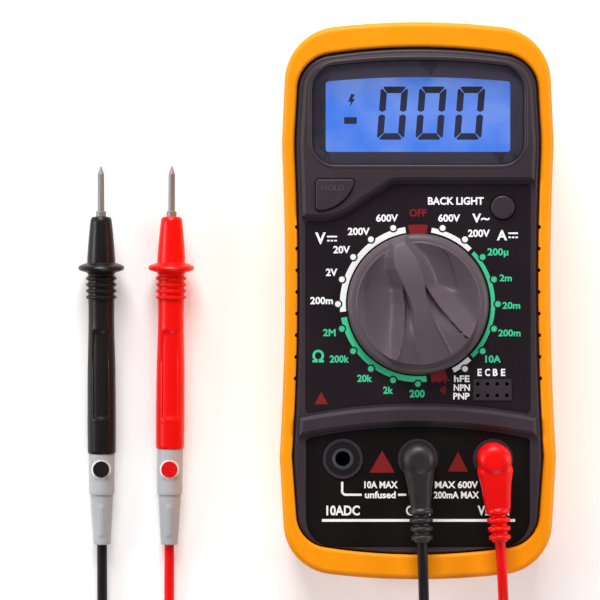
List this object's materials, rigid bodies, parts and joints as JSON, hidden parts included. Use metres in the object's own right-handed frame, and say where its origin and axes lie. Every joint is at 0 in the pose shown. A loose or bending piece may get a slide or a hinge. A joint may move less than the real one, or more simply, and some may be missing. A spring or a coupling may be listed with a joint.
{
  "type": "digital multimeter",
  "caption": "Hand-held digital multimeter in a rubber holster, with a backlit display, rotary selector, input jacks, fold-out stand and a pair of test leads.",
  "frame": {"origin": "middle of the holster's back, on the surface that the meter lies on", "axes": "+X to the reader's right, +Y from the jacks towards the display, +Z out of the face"},
  "size_m": [0.1525, 0.2395, 0.0491],
  "materials": {
    "holster_rubber": "satin",
    "case_plastic": "satin",
    "dial_print": "satin",
    "panel_print": "satin",
    "knob_plastic": "satin",
    "button_plastic": "satin",
    "window_clear": "gloss",
    "mask_print": "gloss",
    "lcd_glass": "gloss",
    "light_guide": "gloss",
    "led_white": "gloss",
    "white_plastic": "satin",
    "zebra_rubber": "matte",
    "board_green": "satin",
    "epoxy_black": "gloss",
    "component_mix": "satin",
    "capacitor_can": "gloss",
    "black_plastic": "satin",
    "zinc_steel": "satin",
    "nickel": "polished",
    "brass": "polished",
    "copper_alloy": "satin",
    "fuse_glass": "gloss",
    "battery_jacket": "satin",
    "wire_sheath": "satin",
    "black_lead": "satin",
    "black_grip": "satin",
    "red_lead": "satin",
    "red_grip": "satin",
    "tail_grey": "satin",
    "dot_red": "satin",
    "dot_black": "satin",
    "tie_black": "matte"
  },
  "bodies": {
    "root": {"holster": "holster_rubber", "stand_hinge_pin": "zinc_steel", "front_case": "case_plastic", "rear_case": "case_plastic", "case_screws": "zinc_steel", "battery": "battery_jacket", "battery_snap": "black_plastic", "battery_wires": "wire_sheath", "display_mask": "mask_print", "display_window": "window_clear", "lcd_glass": "lcd_glass", "lcd_holder": "white_plastic", "zebra_strip": "zebra_rubber", "backlight_panel": "light_guide", "backlight_leds": "led_white", "main_pcb": "board_green", "pcb_screws": "zinc_steel", "chip_blob": "epoxy_black", "resistors": "component_mix", "capacitors": "capacitor_can", "buzzer": "black_plastic", "fuse_tube": "fuse_glass", "fuse_caps": "nickel", "fuse_clips": "nickel", "shunt_wire": "copper_alloy", "input_jacks": "nickel", "jack_sleeves": "black_plastic", "transistor_socket": "black_plastic", "dial_plate": "dial_print", "jack_plate": "panel_print", "tact_switches": "black_plastic", "black_probe_body": "black_grip", "red_probe_body": "red_grip", "black_probe_tail": "tail_grey", "red_probe_tail": "tail_grey", "black_probe_dot": "dot_black", "red_probe_dot": "dot_red", "probe_tips": "nickel", "black_lead_cord": "black_lead", "red_lead_cord": "red_lead", "black_lead_coil": "black_lead", "red_lead_coil": "red_lead", "lead_ties": "tie_black"},
    "knob": {"knob": "knob_plastic", "knob_screw": "zinc_steel", "contact_carrier": "white_plastic", "contact_wipers": "brass", "detent_balls": "zinc_steel", "detent_springs": "zinc_steel"},
    "hold_button": {"hold_button": "button_plastic"},
    "backlight_button": {"backlight_button": "button_plastic"},
    "stand": {"tilt_stand": "holster_rubber"},
    "battery_door": {"battery_door": "case_plastic", "battery_door_screw": "zinc_steel"},
    "black_plug": {"black_plug_body": "black_grip", "black_plug_pin": "nickel"},
    "red_plug": {"red_plug_body": "red_grip", "red_plug_pin": "nickel"}
  },
  "joints": [
    {"name": "selector_turn", "type": "hinge", "parent": "root", "child": "knob", "pos_m": [0, -0.0009, 0.043], "axis": [0, 0, 1], "continuous": true},
    {"name": "hold_press", "type": "slide", "parent": "root", "child": "hold_button", "axis": [0, 0, -1], "range_m": [0, 0.0008], "stiffness_N_per_m": 1200, "springref_m": -0.0003},
    {"name": "backlight_press", "type": "slide", "parent": "root", "child": "backlight_button", "axis": [0, 0, -1], "range_m": [0, 0.0008], "stiffness_N_per_m": 1200, "springref_m": -0.0003},
    {"name": "stand_swing", "type": "hinge", "parent": "root", "child": "stand", "pos_m": [0, 0.01, 0.0016], "axis": [1, 0, 0], "range_deg": [0, 65]},
    {"name": "battery_door_lift", "type": "slide", "parent": "root", "child": "battery_door", "axis": [0, 0, -1], "range_m": [0, 0.03]},
    {"name": "black_plug_pull", "type": "slide", "parent": "root", "child": "black_plug", "axis": [0, 0, 1], "range_m": [0, 0.02]},
    {"name": "red_plug_pull", "type": "slide", "parent": "root", "child": "red_plug", "axis": [0, 0, 1], "range_m": [0, 0.02]}
  ]
}
